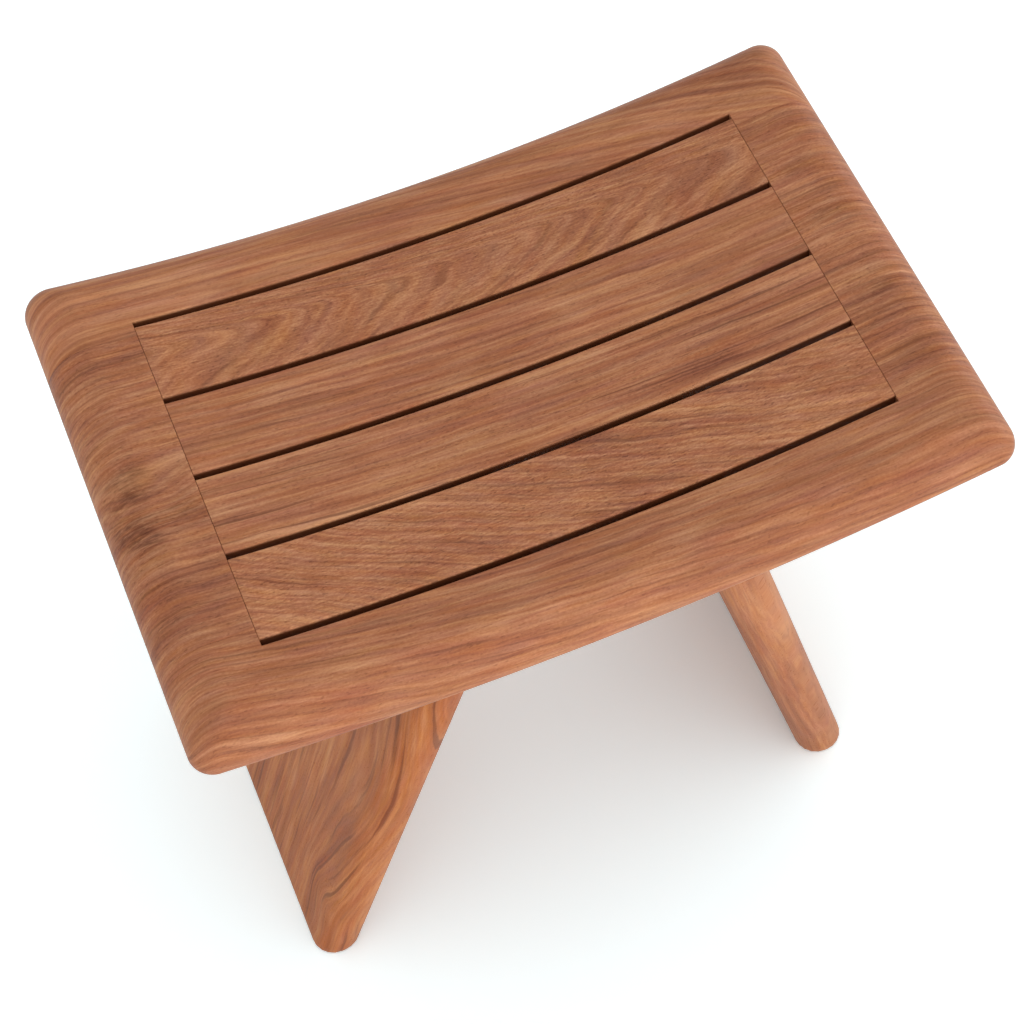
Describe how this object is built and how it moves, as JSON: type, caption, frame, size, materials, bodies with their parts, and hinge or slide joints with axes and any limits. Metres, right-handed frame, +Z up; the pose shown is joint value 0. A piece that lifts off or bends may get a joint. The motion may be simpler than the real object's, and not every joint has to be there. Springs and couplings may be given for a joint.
{
  "type": "shower bench",
  "caption": "Teak shower bench with a dished, slatted seat, rolled ends and two splayed plank legs tied by a stretcher.",
  "frame": {"origin": "on the floor under the middle of the seat", "axes": "+X along the seat to its right end, +Y to the rear, +Z up"},
  "size_m": [0.457, 0.298, 0.4598],
  "materials": {
    "teak_rails": "oiled satin, long straight grain that wraps over the rolled ends",
    "teak_slats": "oiled satin, straight and arched grain, one board a slat",
    "teak_legs": "oiled satin, flowing diagonal bands on the broad faces",
    "teak_underframe": "planed and oiled, left plainer under the seat",
    "dowel_wood": "bare turned hardwood",
    "stainless": "brushed stainless steel",
    "glide_rubber": "matt black rubber"
  },
  "bodies": {
    "root": {"front_rail": "teak_rails", "rear_rail": "teak_rails", "left_end_rail": "teak_rails", "right_end_rail": "teak_rails", "slat_1": "teak_slats", "slat_2": "teak_slats", "slat_3": "teak_slats", "slat_4": "teak_slats", "left_leg": "teak_legs", "right_leg": "teak_legs", "left_cleat": "teak_underframe", "right_cleat": "teak_underframe", "stretcher": "teak_underframe", "slat_dowels": "dowel_wood", "end_rail_dowels": "dowel_wood", "leg_dowels": "dowel_wood", "cleat_slat_screws": "stainless", "cleat_leg_screws": "stainless", "glide_screws": "stainless", "foot_glides": "glide_rubber"}
  },
  "joints": []
}
